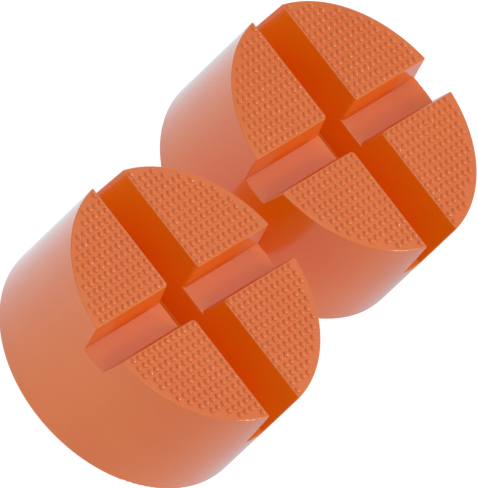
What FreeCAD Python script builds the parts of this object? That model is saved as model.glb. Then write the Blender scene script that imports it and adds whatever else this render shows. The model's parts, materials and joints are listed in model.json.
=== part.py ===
"""Leveling block set: two identical round blocks that stand side by side on one floor.

Each block is one solid moulding. Two slots cross at its top, a deep one along X and a shallow
one along Y, and leave four quarter pads. Rows of small round studs cover the pads for grip.
The origin is on the floor, halfway between the two blocks, and +Z is up.
"""
import FreeCAD, Part
import math
import os

# Driving dimensions, in millimetres.
BLOCK_DIAMETER = 76.0
PAD_HEIGHT = 35.7            # from the base to the flat of the pads
SLOT_FLOOR_WIDTH = 7.6       # both slots have the same floor width
DEEP_SLOT_WIDTH = 13.0       # across the top of the slot along X
DEEP_SLOT_DEPTH = 15.0
SHALLOW_SLOT_WIDTH = 11.0    # across the top of the slot along Y
SHALLOW_SLOT_DEPTH = 7.5
CROSSING_ROUND = 1.2         # radius of each pad's inner vertical corner
EDGE_ROUND = 0.3             # radius on the outer edges of the pads and of the slot floors
BASE_ROUND = 0.5             # radius around the foot of the block
STUD_PITCH = 2.4             # square grid, starting half a pitch inside each slot edge
STUD_DIAMETER = 1.8
STUD_HEIGHT = 0.65
STUD_RIM_MARGIN = 1.6        # least distance from a stud's centre to the rim of the block
SET_OFFSET_X = -16.0         # from the centre of the front block to that of the rear one
SET_OFFSET_Y = 86.5

# Worked out from the dimensions above.
BLOCK_RADIUS = BLOCK_DIAMETER / 2
DEEP_FLOOR_HEIGHT = PAD_HEIGHT - DEEP_SLOT_DEPTH
SHALLOW_FLOOR_HEIGHT = PAD_HEIGHT - SHALLOW_SLOT_DEPTH
STUD_RADIUS = STUD_DIAMETER / 2
STUD_SPHERE_RADIUS = (STUD_RADIUS ** 2 + STUD_HEIGHT ** 2) / (2 * STUD_HEIGHT)
STUD_REACH = BLOCK_RADIUS - STUD_RIM_MARGIN

CLEARANCE = 1.0              # how far a cutting tool runs past the block
SEAM_ANGLE = 45              # keeps the cylinder's seam off the slots
TOLERANCE = 1e-4
UP = FreeCAD.Vector(0, 0, 1)


def slot_cutter(top_width, depth, along_y):
    """A prism with sloping sides that cuts one slot right across the block."""
    half_top = top_width / 2
    half_floor = SLOT_FLOOR_WIDTH / 2
    slope = (half_top - half_floor) / depth
    half_above = half_top + slope * CLEARANCE
    floor = PAD_HEIGHT - depth
    above = PAD_HEIGHT + CLEARANCE
    start = -(BLOCK_RADIUS + CLEARANCE)
    outline = [
        FreeCAD.Vector(start, -half_floor, floor),
        FreeCAD.Vector(start, half_floor, floor),
        FreeCAD.Vector(start, half_above, above),
        FreeCAD.Vector(start, -half_above, above),
    ]
    profile = Part.Face(Part.makePolygon(outline + outline[:1]))
    cutter = profile.extrude(FreeCAD.Vector(-2 * start, 0, 0))
    if along_y:
        cutter.rotate(FreeCAD.Vector(), UP, 90)
    return cutter


def rises_at_crossing(edge):
    """True for the four corner edges where a wall of one slot meets a wall of the other."""
    low, high = edge.BoundBox.ZMin, edge.BoundBox.ZMax
    middle = edge.BoundBox.Center
    near_axis = math.hypot(middle.x, middle.y) < BLOCK_RADIUS / 2
    return near_axis and low > SHALLOW_FLOOR_HEIGHT - TOLERANCE and high - low > CLEARANCE


def turns_outward(shape, edge):
    """True where the two faces at an edge meet at an outside corner that isn't smooth."""
    faces = shape.ancestorsOfType(edge, Part.Face)
    if len(faces) != 2:
        return False
    point = edge.valueAt((edge.FirstParameter + edge.LastParameter) / 2)
    normals = [face.normalAt(*face.Surface.parameter(point)) for face in faces]
    apart = normals[0] - normals[1]
    if apart.Length < TOLERANCE:
        return False
    return not shape.isInside(point + apart * EDGE_ROUND, TOLERANCE, False)


def slotted_body():
    """The round body with both slots cut and its edges rounded."""
    body = Part.makeCylinder(BLOCK_RADIUS, PAD_HEIGHT)
    body.rotate(FreeCAD.Vector(), UP, SEAM_ANGLE)
    body = body.cut(slot_cutter(DEEP_SLOT_WIDTH, DEEP_SLOT_DEPTH, along_y=False))
    body = body.cut(slot_cutter(SHALLOW_SLOT_WIDTH, SHALLOW_SLOT_DEPTH, along_y=True))
    body = body.makeFillet(CROSSING_ROUND, [e for e in body.Edges if rises_at_crossing(e)])
    upper = [e for e in body.Edges if e.BoundBox.ZMax > DEEP_FLOOR_HEIGHT - TOLERANCE]
    body = body.makeFillet(EDGE_ROUND, [e for e in upper if turns_outward(body, e)])
    foot = [e for e in body.Edges if e.BoundBox.ZMax < TOLERANCE]
    return body.makeFillet(BASE_ROUND, foot)


def stud_centres():
    """Plan positions of the studs on all four pads, from a square grid inside the rim."""
    first_x = (SHALLOW_SLOT_WIDTH + STUD_PITCH) / 2
    first_y = (DEEP_SLOT_WIDTH + STUD_PITCH) / 2
    count = int(BLOCK_RADIUS // STUD_PITCH)
    for column in range(count):
        for row in range(count):
            x = first_x + column * STUD_PITCH
            y = first_y + row * STUD_PITCH
            if math.hypot(x, y) <= STUD_REACH:
                for side_x in (-1, 1):
                    for side_y in (-1, 1):
                        yield side_x * x, side_y * y


def stud(x, y):
    """One ball sunk in a pad, so that a shallow dome stands above it."""
    centre = FreeCAD.Vector(x, y, PAD_HEIGHT + STUD_HEIGHT - STUD_SPHERE_RADIUS)
    return Part.makeSphere(STUD_SPHERE_RADIUS, centre)


def block():
    """One finished block with the centre of its base at the origin."""
    studs = [stud(x, y) for x, y in stud_centres()]
    return slotted_body().multiFuse(studs)


def main():
    os.makedirs("parts", exist_ok=True)
    master = block()
    for node, side in (("front_block", -0.5), ("rear_block", 0.5)):
        placed = master.copy()
        placed.translate(FreeCAD.Vector(side * SET_OFFSET_X, side * SET_OFFSET_Y, 0))
        placed.exportStep(os.path.join("parts", node + ".step"))
        print(node, "solids", len(placed.Solids), "volume", round(placed.Volume), "valid", placed.isValid())


main()
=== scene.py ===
"""Looks for the leveling block set: camera, studio light, floor and the moulded orange resin."""
import json
import math

import bpy
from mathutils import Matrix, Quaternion, Vector


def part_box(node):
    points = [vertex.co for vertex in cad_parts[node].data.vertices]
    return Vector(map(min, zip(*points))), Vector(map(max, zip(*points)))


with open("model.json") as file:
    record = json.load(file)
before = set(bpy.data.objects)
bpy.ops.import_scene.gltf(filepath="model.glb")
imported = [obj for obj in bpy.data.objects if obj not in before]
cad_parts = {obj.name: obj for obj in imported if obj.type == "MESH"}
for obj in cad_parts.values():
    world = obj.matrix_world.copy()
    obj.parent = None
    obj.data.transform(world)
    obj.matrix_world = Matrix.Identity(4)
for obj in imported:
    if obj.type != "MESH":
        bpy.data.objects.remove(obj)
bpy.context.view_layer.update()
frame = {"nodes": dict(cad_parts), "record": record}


def direction(azimuth, elevation):
    """Unit vector from the object towards an azimuth (0 is -Y, 90 is +X) and an elevation, in degrees."""
    a, e = math.radians(azimuth), math.radians(elevation)
    return Vector((math.sin(a) * math.cos(e), -math.cos(a) * math.cos(e), math.sin(e)))


# ---------------------------------------------------------------- camera
LENS = 1400.0             # long lens, so both blocks are drawn almost at the same scale
SENSOR = 36.0
FRAME_HEIGHT = 0.127      # what the picture's height covers at the aim point, in metres
CAMERA_AZIMUTH = 8.35
CAMERA_ELEVATION = 42.98
CAMERA_ROLL = 46.51
AIM = Vector((0.0001, -0.0003, 0.0178))
CLIP_NEAR = 0.1
CLIP_FAR = 60.0


def make_camera():
    data = bpy.data.cameras.new("camera")
    data.type = "PERSP"
    data.lens = LENS
    data.sensor_width = SENSOR
    data.clip_start = CLIP_NEAR
    data.clip_end = CLIP_FAR
    camera = bpy.data.objects.new("camera", data)
    bpy.context.scene.collection.objects.link(camera)
    back = direction(CAMERA_AZIMUTH, CAMERA_ELEVATION)
    camera.location = AIM + back * (FRAME_HEIGHT * LENS / SENSOR)
    camera.rotation_mode = "QUATERNION"
    turn = Quaternion((0, 0, 1), math.radians(CAMERA_ROLL))
    camera.rotation_quaternion = back.to_track_quat("Z", "Y") @ turn
    bpy.context.scene.camera = camera


# ---------------------------------------------------------------- node helpers
def nodes_of(name):
    """A new material, its node tree and its Principled shader."""
    material = bpy.data.materials.new(name)
    material.use_nodes = True
    tree = material.node_tree
    shader = next(n for n in tree.nodes if n.type == "BSDF_PRINCIPLED")
    return material, tree, shader


def maths(tree, operation, *values, clamp=False):
    """The output of a Math node fed by numbers or sockets."""
    node = tree.nodes.new("ShaderNodeMath")
    node.operation = operation
    node.use_clamp = clamp
    for place, value in enumerate(values):
        if isinstance(value, (int, float)):
            node.inputs[place].default_value = value
        else:
            tree.links.new(value, node.inputs[place])
    return node.outputs["Value"]


def ramp(tree, value, start, end, low=0.0, high=1.0):
    """Smooth change from low, where value is start, to high, where it is end."""
    node = tree.nodes.new("ShaderNodeMapRange")
    node.interpolation_type = "SMOOTHSTEP"
    tree.links.new(value, node.inputs["Value"])
    for name, number in (("From Min", start), ("From Max", end), ("To Min", low), ("To Max", high)):
        node.inputs[name].default_value = number
    return node.outputs["Result"]


def noise(tree, vector, size, detail):
    """Noise from 0 to 1 with patches about that many metres wide."""
    node = tree.nodes.new("ShaderNodeTexNoise")
    node.inputs["Scale"].default_value = 1.0 / size
    node.inputs["Detail"].default_value = detail
    tree.links.new(vector, node.inputs["Vector"])
    return node.outputs["Fac"]


def blend_colour(tree, factor, first, second):
    """Mix of two colours, each given as numbers or as a socket."""
    node = tree.nodes.new("ShaderNodeMix")
    node.data_type = "RGBA"
    tree.links.new(factor, node.inputs[0])
    for place, colour in ((6, first), (7, second)):
        if isinstance(colour, tuple):
            node.inputs[place].default_value = colour
        else:
            tree.links.new(colour, node.inputs[place])
    return node.outputs[2]


# ---------------------------------------------------------------- resin
# Sizes of a block in metres, which only place the finish on it.
BLOCK_LOW, BLOCK_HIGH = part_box("front_block")
SEATS = {mount["name"]: mount["pos_m"] for mount in frame["record"]["mounts"]}
STUD_HEIGHT = 0.00065
BLOCK_RADIUS = (BLOCK_HIGH[0] - BLOCK_LOW[0]) / 2
PAD_HEIGHT = BLOCK_HIGH[2] - STUD_HEIGHT
DEEP_FLOOR = SEATS["front_deep_seat"][2]
SHALLOW_FLOOR = SEATS["front_shallow_seat"][2]
DEEP_SLOT_HALF = 0.0065           # half the width of each slot at the pads
SHALLOW_SLOT_HALF = 0.0055
SLOT_FLOOR_HALF = 0.0038          # half the width of the shallow slot's floor
SHALLOW_FLOOR_END = 0.00515       # how far from the middle that floor stops at the deep slot

EDGE_HIGHLIGHT_BAND = 0.0006                # how far from an edge the painted highlight and the rougher resin reach
SKIN_BLEND = 0.0003               # height over which the skin of the slots' sides changes
FLOOR_MARGIN = 0.0002             # how far below the deep slot's floor that change begins
GLOSSY_END = 0.008                # near the rim the slots' sides are as glossy as the outside,
DULL_FROM = 0.013                 # and this far in from it they are fully without the glossy skin

PIGMENT_PATCH = 0.022             # slow changes in the pigment
HANDLED_PATCH = 0.006             # patches rubbed by handling, which are rougher and carry a stronger painted highlight
GRAIN = 0.0006                    # grain of the moulded skin
GRAIN_BUMP = 0.000004
GRAIN_SHARE = 0.35                # part of the colour variation that is grain, the rest is pigment

RESIN = (0.95, 0.17, 0.0, 1.0)
RESIN_LIGHT = (0.98, 0.19, 0.004, 1.0)
# paler colour painted on the rims, the foot, the ledges and the stud tops as a highlight
RESIN_PAINTED_HIGHLIGHT = (1.0, 0.28, 0.05, 1.0)
RESIN_IOR = 1.5
COAT_ROUGHNESS = 0.1
SKIN_ROUGHNESS = 0.15             # and what handling, rubbing and the dull sides add to it
HANDLED_ROUGHNESS = 0.06
RUBBED_ROUGHNESS = 0.15
DULL_ROUGHNESS = 0.45


def block_axes(tree, place):
    """Position on a block from its own middle. The rear block is the front one turned half round."""
    axes = tree.nodes.new("ShaderNodeSeparateXYZ")
    tree.links.new(place.outputs["Object"], axes.inputs["Vector"])
    turn = maths(tree, "MULTIPLY", maths(tree, "SIGN", axes.outputs["Y"]), -1.0)
    x = maths(tree, "MULTIPLY_ADD", axes.outputs["X"], turn, -(BLOCK_LOW[0] + BLOCK_HIGH[0]) / 2)
    y = maths(tree, "MULTIPLY_ADD", axes.outputs["Y"], turn, -(BLOCK_LOW[1] + BLOCK_HIGH[1]) / 2)
    radius = maths(tree, "SQRT", maths(tree, "MULTIPLY_ADD", x, x, maths(tree, "MULTIPLY", y, y)))
    return maths(tree, "ABSOLUTE", x), maths(tree, "ABSOLUTE", y), axes.outputs["Z"], radius


def slot_sides(tree, place, height, radius):
    """Two masks: the upright sides of all slots, which lack the glossy skin, and the shallow slots' sides."""
    facing = tree.nodes.new("ShaderNodeSeparateXYZ")
    tree.links.new(place.outputs["Normal"], facing.inputs["Vector"])
    upright = ramp(tree, maths(tree, "ABSOLUTE", facing.outputs["Z"]), 0.6, 0.4)
    sideways = ramp(tree, maths(tree, "ABSOLUTE", facing.outputs["X"]), 0.6, 0.8)
    lowest = DEEP_FLOOR - FLOOR_MARGIN
    above = ramp(tree, height, lowest, lowest + SKIN_BLEND)
    below = ramp(tree, height, PAD_HEIGHT, PAD_HEIGHT - SKIN_BLEND)
    inside = ramp(tree, radius, BLOCK_RADIUS - GLOSSY_END, BLOCK_RADIUS - DULL_FROM)
    sides = maths(tree, "MULTIPLY", upright, inside)
    sides = maths(tree, "MULTIPLY", sides, maths(tree, "MULTIPLY", above, below))
    return sides, maths(tree, "MULTIPLY", sides, sideways)


def edges(tree, across, along, height, radius):
    """1 at the rims of the pads, the shallow floors' ends and the foot, falling to 0 a little way in: where a
    highlight is painted.
    """
    def near(value, line):
        return ramp(tree, maths(tree, "ABSOLUTE", maths(tree, "SUBTRACT", value, line)), EDGE_HIGHLIGHT_BAND, 0.0)
    lines = maths(tree, "MAXIMUM", near(across, SHALLOW_SLOT_HALF), near(along, DEEP_SLOT_HALF))
    lines = maths(tree, "MAXIMUM", lines, near(radius, BLOCK_RADIUS))
    rim = maths(tree, "MULTIPLY", lines, near(height, PAD_HEIGHT))
    foot = maths(tree, "MULTIPLY", near(height, 0.0), near(radius, BLOCK_RADIUS))
    ledge = maths(tree, "MULTIPLY", near(height, SHALLOW_FLOOR), near(along, SHALLOW_FLOOR_END))
    on_floor = ramp(tree, across, SLOT_FLOOR_HALF + EDGE_HIGHLIGHT_BAND, SLOT_FLOOR_HALF)
    ledge = maths(tree, "MULTIPLY", ledge, on_floor)
    return maths(tree, "MAXIMUM", maths(tree, "MAXIMUM", rim, foot), ledge)


def resin():
    """Glossy moulded resin with a paler painted highlight on its edges and stud tops, rougher there, and
    without its glossy skin in the slots.
    """
    material, tree, shader = nodes_of("orange_resin")
    place = tree.nodes.new("ShaderNodeTexCoord")
    here = place.outputs["Object"]
    across, along, height, radius = block_axes(tree, place)
    sides, dull = slot_sides(tree, place, height, radius)
    flow = noise(tree, here, PIGMENT_PATCH, detail=3.0)
    grain = noise(tree, here, GRAIN, detail=2.0)
    handled = noise(tree, here, HANDLED_PATCH, detail=4.0)
    flow = maths(tree, "MULTIPLY", flow, 1.0 - GRAIN_SHARE)
    pigment = maths(tree, "MULTIPLY_ADD", grain, GRAIN_SHARE, flow)
    colour = blend_colour(tree, ramp(tree, pigment, 0.35, 0.65), RESIN, RESIN_LIGHT)
    # the stud tops also get the painted highlight
    tops = ramp(tree, height, PAD_HEIGHT + STUD_HEIGHT / 2, PAD_HEIGHT + STUD_HEIGHT)
    highlight_and_rough_places = maths(tree, "MAXIMUM", edges(tree, across, along, height, radius), tops)
    highlight_and_rough = maths(tree, "MULTIPLY", highlight_and_rough_places, ramp(tree, handled, 0.3, 0.7, 0.3, 0.6))
    # the paler colour on the edges and stud tops is a painted highlight
    colour = blend_colour(tree, highlight_and_rough, colour, RESIN_PAINTED_HIGHLIGHT)
    tree.links.new(colour, shader.inputs["Base Color"])
    roughness = maths(tree, "MULTIPLY_ADD", handled, HANDLED_ROUGHNESS, SKIN_ROUGHNESS)
    roughness = maths(tree, "MULTIPLY_ADD", highlight_and_rough, RUBBED_ROUGHNESS, roughness)
    roughness = maths(tree, "MULTIPLY_ADD", dull, DULL_ROUGHNESS, roughness)
    tree.links.new(roughness, shader.inputs["Roughness"])
    tree.links.new(maths(tree, "SUBTRACT", 1.0, sides, clamp=True), shader.inputs["Coat Weight"])
    shader.inputs["IOR"].default_value = RESIN_IOR
    shader.inputs["Coat Roughness"].default_value = COAT_ROUGHNESS
    shader.inputs["Coat IOR"].default_value = RESIN_IOR
    bump = tree.nodes.new("ShaderNodeBump")
    bump.inputs["Strength"].default_value = 1.0
    bump.inputs["Distance"].default_value = GRAIN_BUMP
    tree.links.new(grain, bump.inputs["Height"])
    tree.links.new(bump.outputs["Normal"], shader.inputs["Normal"])
    return material


# ---------------------------------------------------------------- studio
PAPER = (0.15, 0.15, 0.15, 1.0)
PAPER_ROUGHNESS = 0.9
PAPER_SPECULAR = 0.1
PAPER_HALF_SIZE = 6.0
FLOOR_LIGHT_FRONT = (0.71, 0.84, 0.94, 1.0)     # light the paper sends back to the blocks, front left
FLOOR_LIGHT_BACK = (0.42, 0.38, 0.4, 1.0)       # and back right
FLOOR_LIGHT_ACROSS = (1.0, 0.35, 0.0)           # the way from front left to back right
FLOOR_LIGHT_SPAN = 0.09                         # half the distance over which one becomes the other
BACKDROP = (1.0, 1.0, 1.0, 1.0)                 # what the camera sees instead, so that the paper is white
WORLD_STRENGTH = 0.48
SOFTBOX_DISTANCE = 1.4


def floor_paper():
    """Paper that the camera sees as white and that lights the blocks unevenly from below."""
    material, tree, shader = nodes_of("floor_paper")
    shader.inputs["Base Color"].default_value = PAPER
    shader.inputs["Roughness"].default_value = PAPER_ROUGHNESS
    shader.inputs["Specular IOR Level"].default_value = PAPER_SPECULAR
    shader.inputs["Emission Strength"].default_value = 1.0
    place = tree.nodes.new("ShaderNodeTexCoord")
    across = tree.nodes.new("ShaderNodeVectorMath")
    across.operation = "DOT_PRODUCT"
    across.inputs[1].default_value = FLOOR_LIGHT_ACROSS
    tree.links.new(place.outputs["Object"], across.inputs[0])
    sweep = ramp(tree, across.outputs["Value"], -FLOOR_LIGHT_SPAN, FLOOR_LIGHT_SPAN)
    light = blend_colour(tree, sweep, FLOOR_LIGHT_FRONT, FLOOR_LIGHT_BACK)
    path = tree.nodes.new("ShaderNodeLightPath")
    seen = blend_colour(tree, path.outputs["Is Camera Ray"], light, BACKDROP)
    tree.links.new(seen, shader.inputs["Emission Color"])
    return material


def make_floor():
    half = PAPER_HALF_SIZE
    corners = [(-half, -half, 0), (half, -half, 0), (half, half, 0), (-half, half, 0)]
    mesh = bpy.data.meshes.new("floor")
    mesh.from_pydata(corners, [], [(0, 1, 2, 3)])
    mesh.materials.append(floor_paper())
    floor = bpy.data.objects.new("floor", mesh)
    bpy.context.scene.collection.objects.link(floor)


def softbox(name, azimuth, elevation, size, watts):
    """A round area light that faces the middle of the floor, with its width in metres."""
    data = bpy.data.lights.new(name, "AREA")
    data.shape = "DISK"
    data.size = size
    data.energy = watts
    light = bpy.data.objects.new(name, data)
    bpy.context.scene.collection.objects.link(light)
    towards = direction(azimuth, elevation)
    light.location = towards * SOFTBOX_DISTANCE
    light.rotation_mode = "QUATERNION"
    light.rotation_quaternion = towards.to_track_quat("Z", "Y")


def make_world():
    world = bpy.data.worlds.new("studio")
    bpy.context.scene.world = world
    world.use_nodes = True
    background = world.node_tree.nodes["Background"]
    background.inputs["Color"].default_value = (1.0, 1.0, 1.0, 1.0)
    background.inputs["Strength"].default_value = WORLD_STRENGTH


make_camera()
make_floor()
make_world()
softbox("key", azimuth=112, elevation=30, size=0.25, watts=2.5)
softbox("back_right", azimuth=135, elevation=45, size=0.25, watts=1.5)
softbox("front_right", azimuth=45, elevation=50, size=0.5, watts=1.5)
softbox("front_top", azimuth=0, elevation=75, size=0.5, watts=1.0)
softbox("back_left", azimuth=225, elevation=20, size=0.7, watts=0.85)
softbox("back", azimuth=180, elevation=50, size=0.5, watts=0.17)

moulded = resin()
for node in frame["nodes"].values():
    for place in range(len(node.data.materials)):
        node.data.materials[place] = moulded

scene = bpy.context.scene
scene.view_settings.view_transform = "Standard"
scene.cycles.glossy_bounces = 1      # the slots mirror the plain resin, not its sheen
